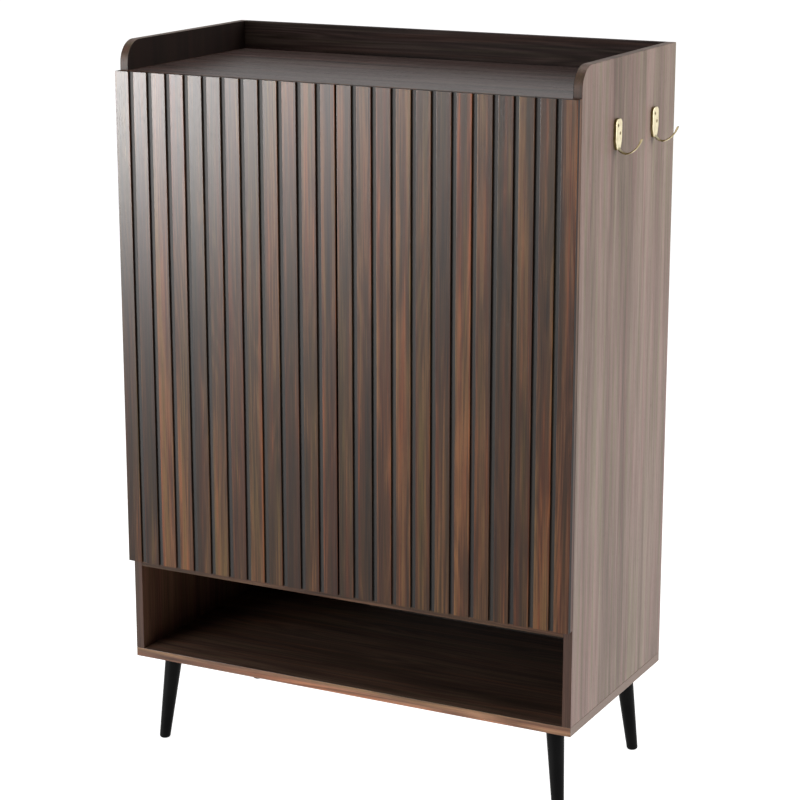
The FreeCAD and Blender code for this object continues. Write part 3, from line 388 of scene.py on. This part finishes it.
def walnut_pattern(place, axis):
    """The broad bands, growth lines, fine streaks and pores, each from 0 to 1."""
    bands = long_grain(place, BANDS_ACROSS, 900.0, axis).noise(2.0, 0.5, 0.6).spread(0.3, 0.7)
    rings = long_grain(place, RINGS_ACROSS, 620.0, axis).noise(1.5, 0.45, 0.35)
    lines = (rings * GROWTH_LINES).waves()
    streaks = long_grain(place, STREAKS_ACROSS, 150.0, axis).noise(4.0, 0.62, 0.2).spread(0.28, 0.72)
    pores = long_grain(place, PORES_ACROSS, 13.0, axis).noise(2.0, 0.6).above(0.66, 0.06)
    return bands, lines, streaks, pores


def walnut_foil(place, axis, browns, shares, tint, hues=OLIVE_TO_ORANGE):
    """Colour, height, streaks and pores of the foil. Shares weigh the bands, lines and streaks."""
    bands, lines, streaks, pores = walnut_pattern(place, axis)
    dark, middle, light = browns
    tone = bands * shares[0] + lines * shares[1] + streaks * shares[2]
    colour = tone.spread(0.22, 0.78).ramp([(0.0, dark), (0.5, middle), (1.0, light)])
    hue = long_grain(place, 9.0, 420.0, axis).noise(2.0, 0.5).spread(0.34, 0.66)
    colour = colour.tinted(hue.ramp(hues), tint)
    colour = colour.blend(tuple(0.45 * part for part in dark), pores * 0.55)
    height = streaks * 0.6 - pores * 0.8
    return colour, height, streaks, pores


print("mm across the grain: bands", BANDS_ACROSS, " rings", RINGS_ACROSS, end="  ")
print("streaks", STREAKS_ACROSS, " pores", PORES_ACROSS)

# %% [markdown]
# ## The fluted doors
# Each slat is wrapped on its own, so its grain doesn't run on into the next one. The slat's number
# comes from how far along the door a point lies. It moves the pattern to a new place, and it makes
# the slat a little darker, lighter, redder or more olive. The groove floors and walls are behind the
# front face, and there the foil's colour is darkened to near black as painted shade, the walls more
# than the floors. The doors' low shine keeps the pale floor out of them.

# %% door finish
DOOR_BROWNS = [(0.024, 0.0095, 0.0046), (0.060, 0.0232, 0.0086), (0.162, 0.071, 0.026)]
SLAT_HUES = [
    (0.0, (0.74, 0.78, 0.62)),
    (0.3, (0.98, 0.86, 0.84)),
    (0.6, (0.92, 1.0, 0.88)),
    (1.0, (1.28, 1.16, 1.06)),
]
DOOR_SHINE = 0.17
GROOVE_DEPTH = 1.2 * MM
REAR_FACE_DEPTH = 8.0 * MM
JUMP_ACROSS = 0.737
JUMP_ALONG = 3.911


def door_finish(name, door_low):
    finish = Finish(name, Specular_IOR_Level=DOOR_SHINE)
    number = ((finish.place.part("X") - (door_low.x - GROOVE / 2)) / slat_pitch).floor()
    jumps = {0: number * JUMP_ACROSS, 2: number * JUMP_ALONG}
    place = finish.place.moved(finish.place.node("ShaderNodeCombineXYZ", {}, jumps))
    colour, height, streaks, pores = walnut_foil(
        place, "Z", DOOR_BROWNS, shares=(0.50, 0.14, 0.36), tint=1.0)
    own_tone = number.node("ShaderNodeTexWhiteNoise", {"noise_dimensions": "1D"}, {"W": number})
    colour = colour.tinted(own_tone.ramp(SLAT_HUES))
    depth = finish.place.part("Y") - door_low.y
    in_groove = depth.above(GROOVE_DEPTH, 0.4 * MM) * (1 - depth.above(REAR_FACE_DEPTH, 1.0 * MM))
    # painted shade: the grooves' walls and floors are darkened to stand for the shade in them, the
    # walls most
    shaded_groove_wall = colour.tinted((0.05, 0.05, 0.06))
    shaded_groove_floor = colour.tinted((0.10, 0.13, 0.15))
    groove = shaded_groove_wall.blend(shaded_groove_floor, abs(finish.facing.part("Y")))
    finish.feed(
        Base_Color=colour.blend(groove, in_groove),
        Roughness=0.31 + streaks * 0.03 + pores * 0.08 + in_groove * 0.25,
    )
    finish.relief(height, 0.00004, 0.7)
    return finish


door_finish("walnut slats, left door", left_door_low).put_on("left_door_panel")
door_finish("walnut slats, right door", right_door_low).put_on("right_door_panel")

# %% [markdown]
# ## Boards in foil
# All other boards share one start: the foil, a faint relief, and a roughness that the streaks and
# pores vary. What differs is the three browns, the direction of the grain and the shine. A foiled
# edge that faces the front is duller than the board's face, because it is a strip of another foil.

# %% board finish
FLAT_SHARES = (0.4, 0.25, 0.35)
FOIL_RELIEF = 0.0001


def start_board(name, axis, browns, roughness, shine, shares=FLAT_SHARES, tint=0.5,
                hues=OLIVE_TO_ORANGE, shift=(0.0, 0.0, 0.0)):
    """A board's finish, with its colour, height and roughness still to be fed."""
    finish = Finish(name, Specular_IOR_Level=shine)
    place = finish.place.moved(shift)
    colour, height, streaks, pores = walnut_foil(place, axis, browns, shares, tint, hues)
    return finish, colour, height, roughness + streaks * 0.06 + pores * 0.1


def faces_front(finish):
    """1 where a surface faces the front, 0 elsewhere."""
    return (-finish.facing.part("Y")).above(0.6, 0.2)


def board_finish(*look, **more):
    finish, colour, height, roughness = start_board(*look, **more)
    finish.feed(Base_Color=colour, Roughness=roughness + faces_front(finish) * 0.3)
    finish.relief(height, FOIL_RELIEF, 0.7)
    return finish


SHELF_BROWNS = [(0.030, 0.016, 0.011), (0.080, 0.046, 0.031), (0.160, 0.098, 0.068)]

shelf_finish = board_finish(
    "walnut foil, shelves", "X", SHELF_BROWNS, roughness=0.40, shine=0.3, shift=(0.0, 0.31, 0.17))
shelf_finish.put_on(*["adjustable_shelf_%d" % number for number in (1, 2, 3, 4)])

# %% [markdown]
# ## The side panels
# The sides carry the same print, but finer, paler and greyer, with upright grain. Their front edges
# are darker. Their inner faces get painted shade: dark in the compartments, and nearly black above
# the tray, which makes the tray look deep. Which face a point is on comes from how far across the
# board it lies, and the tray's part of it from its height.

# %% side finish
SIDE_BROWNS = [(0.084, 0.056, 0.044), (0.146, 0.102, 0.083), (0.209, 0.154, 0.127)]
INNER_SKIN = 0.6 * MM


def side_finish(name, inner_x, outer_x):
    """A side panel: pale outside, with painted shade on the face towards the inside."""
    finish, colour, height, roughness = start_board(
        name, "Z", SIDE_BROWNS, roughness=0.38, shine=0.14, shares=(0.45, 0.05, 0.50), tint=1.0,
        hues=OLIVE_TO_PINK)
    step = math.copysign(INNER_SKIN, outer_x - inner_x)
    inside = 1 - ((finish.place.part("X") - (inner_x + step)) / step).above(0.5, 0.5)
    in_tray = finish.place.part("Z").above(tray_floor, 1.0 * MM)
    at_front = faces_front(finish)
    outer = colour.blend(colour.tinted((0.44, 0.30, 0.22)), at_front)
    # painted shade: the inner face is darkened in the compartments and nearly black above the tray
    shaded_inner = outer.tinted((0.62, 0.42, 0.31)).blend(outer.tinted((0.075, 0.045, 0.035)), in_tray)
    finish.feed(
        Base_Color=outer.blend(shaded_inner, inside),
        Roughness=roughness + inside * 0.30 + at_front * 0.15,
    )
    finish.relief(height, FOIL_RELIEF, 0.7)
    return finish


side_finish("walnut foil, left side", left_side_high.x, left_side_low.x).put_on("left_side_panel")
side_finish("walnut foil, right side", right_side_low.x, right_side_high.x).put_on("right_side_panel")

# %% [markdown]
# ## The tray
# On the flat boards the grain runs across the cabinet. The tray floor is dark and glossier than the
# rest, which is why its front shows the bright studio and its back shows the dark rail.

# %% tray finishes
TRAY_BROWNS = [(0.030, 0.019, 0.018), (0.068, 0.044, 0.040), (0.120, 0.082, 0.075)]
RAIL_BROWNS = [(0.011, 0.006, 0.005), (0.030, 0.018, 0.015), (0.058, 0.038, 0.032)]

tray_finish = board_finish("walnut foil, tray", "X", TRAY_BROWNS, roughness=0.25, shine=1.0, tint=0.4)
tray_finish.put_on("top_panel")

rail_finish = board_finish(
    "walnut foil, back rail", "X", RAIL_BROWNS, roughness=0.55, shine=0.09, shift=(0.21, 0.0, 0.4))
rail_finish.put_on("back_rail")

# %% [markdown]
# ## Boards with a lighter edge
# The base panel is dark on its faces and has an orange-brown band round its edges, which is a
# separate strip of foil. Its ends are as grey as the side panels that stand on it. The middle
# shelf's edge is banded in the same way, but only a little warmer than its faces.

# %% banded finish
BANDING = (1.0, 0.82, 0.64)
END_GREY = (0.150, 0.105, 0.083)


def banded_finish(name, lighter, shine):
    """A board whose edges are lighter than its faces by a factor, and warmer."""
    finish, colour, height, roughness = start_board(
        name, "X", SHELF_BROWNS, roughness=0.40, shine=shine)
    on_face = abs(finish.facing.part("Z")).above(0.5, 0.2)
    at_end = abs(finish.facing.part("X")).above(0.6, 0.2)
    edge = colour.tinted(tuple(lighter * part for part in BANDING)).blend(END_GREY, at_end)
    finish.feed(Base_Color=edge.blend(colour, on_face), Roughness=roughness)
    finish.relief(height, FOIL_RELIEF, 0.7)
    return finish


banded_finish("walnut foil, base panel", lighter=2.4, shine=0.2).put_on("base_panel")
banded_finish("walnut foil, middle shelf", lighter=1.0, shine=0.1).put_on("middle_shelf")

# %% [markdown]
# ## The back board
# The back is thin fibreboard. Only the face towards the inside is printed, and it is dark. The face
# towards the wall is bare: short felted fibres and slow brown clouds.

# %% back board finish
BACK_BROWNS = [(0.014, 0.008, 0.006), (0.032, 0.020, 0.014), (0.062, 0.040, 0.029)]


def back_board_finish():
    finish, colour, height, roughness = start_board(
        "fibreboard back", "Z", BACK_BROWNS, roughness=0.55, shine=0.08, shares=(0.5, 0.2, 0.3))
    fibres = finish.clouds(1.4, 4.0, 0.7, along=5.0)
    clouds = finish.clouds(70, 2.0, 0.5, along=90)
    bare = (fibres * 0.7 + clouds * 0.3).between((0.150, 0.098, 0.060), (0.250, 0.172, 0.112))
    behind = finish.facing.part("Y").above(0.5, 0.2)
    finish.feed(Base_Color=colour.blend(bare, behind), Roughness=roughness + behind * 0.15)
    finish.relief(height * (1 - behind) + fibres * behind, FOIL_RELIEF, 0.7)
    return finish


back_board_finish().put_on("back_panel")

# %% [markdown]
# ## Black lacquered legs
# The legs are turned wood under black satin lacquer. A trace of the turning shows as very fine
# rings round the leg, and the lacquer is not quite even, so its gloss changes slowly.

# %% leg finish
def lacquer_finish():
    finish = Finish("black satin lacquer", Specular_IOR_Level=0.04, Coat_Roughness=0.18)
    cloud = finish.clouds(40, 3.0, 0.5, along=60)
    turning = finish.place.stretched((60, 60, 1.6)).noise(1.0, 0.4)
    dust = finish.place.stretched((0.8, 0.8, 0.8)).noise(1.0, 0.5).above(0.72, 0.03)
    finish.feed(
        Base_Color=cloud.between((0.0015, 0.0015, 0.0017), (0.0032, 0.0031, 0.0031)),
        Roughness=0.30 + cloud * 0.10 + dust * 0.1,
        Coat_Weight=0.02 + cloud * 0.02,
    )
    finish.relief(turning * 0.7 + dust * 0.3, 0.00006, 0.6)
    return finish


lacquer_finish().put_on("front_left_leg", "front_right_leg", "rear_left_leg", "rear_right_leg")

# %% [markdown]
# ## Antique brass hooks
# The hooks are cast, plated and brushed. They are bright where hands and straps rub, on the faces
# turned away from the wall, and olive brown where the tarnish stays: on the plates' sides, down in
# the screw heads and at the ends of the arms. Pointiness would read worn edges from the mesh, but it
# depends on the mesh's density. A noise that favours the outward faces does the same for a piece as
# small as a hook.

# %% brass finish
ARM_END = 31.0 * MM


def brass_finish(name, rub):
    """Rub is how much of the bright metal shows: 1 on the hooks, less down in the screw heads."""
    finish = Finish(name, Metallic=1.0)
    cloud = finish.clouds(7, along=9)
    brushed = finish.place.stretched((0.7, 0.7, 9)).noise(3.0, 0.6)
    outward = finish.facing.part("X").spread(-0.2, 0.9)
    at_end = (finish.place.part("X") - right_side_high.x).above(ARM_END, 7.0 * MM)
    rubbed = (outward * 0.75 + cloud * 0.35).above(0.6, 0.3) * rub * (1 - at_end * 0.8)
    tarnish = cloud.between((0.14, 0.100, 0.034), (0.30, 0.225, 0.090))
    bright = cloud.between((0.66, 0.56, 0.34), (0.82, 0.74, 0.52))
    finish.feed(
        Base_Color=tarnish.blend(bright, rubbed),
        Roughness=0.30 + (1 - rubbed) * 0.10 + brushed * 0.10,
    )
    finish.relief(brushed, 0.00004, 0.6)
    return finish


brass_finish("antique brass", 1.0).put_on("front_hook", "rear_hook")
brass_finish("tarnished brass", 0.15).put_on("hook_screws")

# %% [markdown]
# ## Hinges, screws and other metal
# The concealed hinges are nickel plated, the screws and cams are zinc plated, and the pins and
# springs are bare steel. One function makes them all: a plated metal has a grain from rolling or
# drawing, slow clouds in its gloss, and a few dull spots.

# %% plated metals
def plated_finish(name, dull, bright, roughness, grain):
    finish = Finish(name, Metallic=1.0)
    cloud = finish.clouds(9)
    drawn = finish.place.stretched(grain).noise(3.0, 0.6)
    spots = finish.place.stretched((1.3, 1.3, 1.3)).noise(2.0, 0.5).above(0.68, 0.05)
    finish.feed(
        Base_Color=cloud.between(dull, bright).blend(dull, spots * 0.6),
        Roughness=roughness + cloud * 0.10 + spots * 0.18 + drawn * 0.06,
    )
    finish.relief(drawn + spots * 0.5, 0.00003, 0.6)
    return finish


nickel = plated_finish(
    "nickel plate", (0.55, 0.53, 0.50), (0.74, 0.72, 0.69), roughness=0.16, grain=(0.5, 8, 0.5))
nickel.put_on(*both_sides("hinge_cups", "hinge_links", "hinge_arms", "hinge_plates"))

steel = plated_finish(
    "bare steel", (0.42, 0.42, 0.43), (0.60, 0.60, 0.61), roughness=0.26, grain=(0.4, 6, 6))
steel.put_on(*both_sides("cup_pins", "arm_pins", "latch_spring", "latch_strike"))

zinc = plated_finish(
    "zinc plate", (0.48, 0.48, 0.47), (0.66, 0.66, 0.64), roughness=0.30, grain=(3, 3, 0.6))
zinc.put_on(
    *both_sides("cup_screws", "arm_screws", "plate_screws"),
    "cam_bolts", "cam_locks", "shelf_pins", "latch_screws", "leg_hanger_bolts", "leg_plate_screws",
    "base_panel_screws", "back_rail_screws")

# %% [markdown]
# ## Powder coat, plastic and rubber
# The leg plates are powder coated, which leaves a fine orange-peel skin. The latches are moulded
# plastic with a spark-eroded texture, and the bumpers are clear soft dots. All three are one plain
# colour with a fine texture, so one function makes them.

# %% moulded and coated pieces
def skin_finish(name, dark, light, roughness, skin, depth, **even):
    """A plain coloured skin with a fine texture and slow clouds in its gloss."""
    finish = Finish(name, **even)
    cloud = finish.clouds(25, 3.0, 0.5)
    texture = finish.place.stretched((skin, skin, skin)).noise(2.0, 0.5)
    finish.feed(
        Base_Color=cloud.between(dark, light),
        Roughness=roughness + cloud * 0.08 + texture * 0.08,
    )
    finish.relief(texture, depth, 0.8)
    return finish


powder_coat = skin_finish(
    "black powder coat", (0.018, 0.018, 0.019), (0.028, 0.028, 0.030),
    roughness=0.42, skin=0.9, depth=0.00008)
powder_coat.put_on("leg_plates")

plastic = skin_finish(
    "grey moulded plastic", (0.36, 0.36, 0.355), (0.45, 0.45, 0.44),
    roughness=0.45, skin=0.3, depth=0.00005)
plastic.put_on(*both_sides("latch_housing", "latch_plunger"))

rubber = skin_finish(
    "clear soft rubber", (0.62, 0.62, 0.60), (0.72, 0.72, 0.70),
    roughness=0.22, skin=1.5, depth=0.00003, Transmission_Weight=0.6, IOR=1.45)
rubber.put_on(*both_sides("door_bumper"))

# %% [markdown]
# ## Beech dowels
# The dowels that line the boards up are fluted beech, pale and pinkish, with short dark flecks. They
# lie across the cabinet, so their grain runs along X.

# %% dowel finish
def beech_finish():
    finish = Finish("beech dowel")
    streaks = long_grain(finish.place, 1.2, 40.0, "X").noise(3.0, 0.6).spread(0.3, 0.7)
    flecks = long_grain(finish.place, 0.5, 3.0, "X").noise(1.0, 0.5).above(0.66, 0.05)
    colour = streaks.between((0.42, 0.27, 0.155), (0.60, 0.42, 0.26))
    finish.feed(
        Base_Color=colour.blend((0.30, 0.18, 0.10), flecks * 0.5),
        Roughness=0.6 + streaks * 0.1,
    )
    finish.relief(streaks - flecks, 0.00008, 0.8)
    return finish


beech_finish().put_on("dowels")

# %% [markdown]
# ## The floor's finish
# A backdrop and floor are lit until they are plain white. The floor does that by glowing a little,
# because a lamp strong enough would light the cabinet from below too. Its own colour is only a pale
# grey, so the legs still throw a faint shadow, with clouds too slow to see.

# %% floor finish
FLOOR_PALE = 0.45
FLOOR_GLOW = 0.96


def floor_finish():
    finish = Finish(
        "pale studio floor", Specular_IOR_Level=0.1, Emission_Strength=FLOOR_GLOW,
        Emission_Color=(1.0, 1.0, 1.0, 1.0))
    cloud = finish.place.stretched((900, 900, 900)).noise(2.0, 0.4)
    finish.feed(
        Base_Color=cloud.between((0.99 * FLOOR_PALE,) * 3, (FLOOR_PALE,) * 3),
        Roughness=0.75 + cloud * 0.05,
    )
    return finish


floor_mesh.materials.append(floor_finish().material)
print("floor colour:", FLOOR_PALE, " glow:", FLOOR_GLOW)

# %% [markdown]
# ## Last checks
# By now no piece may still wear the flat colour that it came with; the last cell lists any that does.

# %% list unfinished pieces
unfinished = sorted(
    name for name, node in nodes.items()
    if not node.data.materials or any(slot.name in flat_colours for slot in node.data.materials))
print("pieces without a finish:", unfinished)
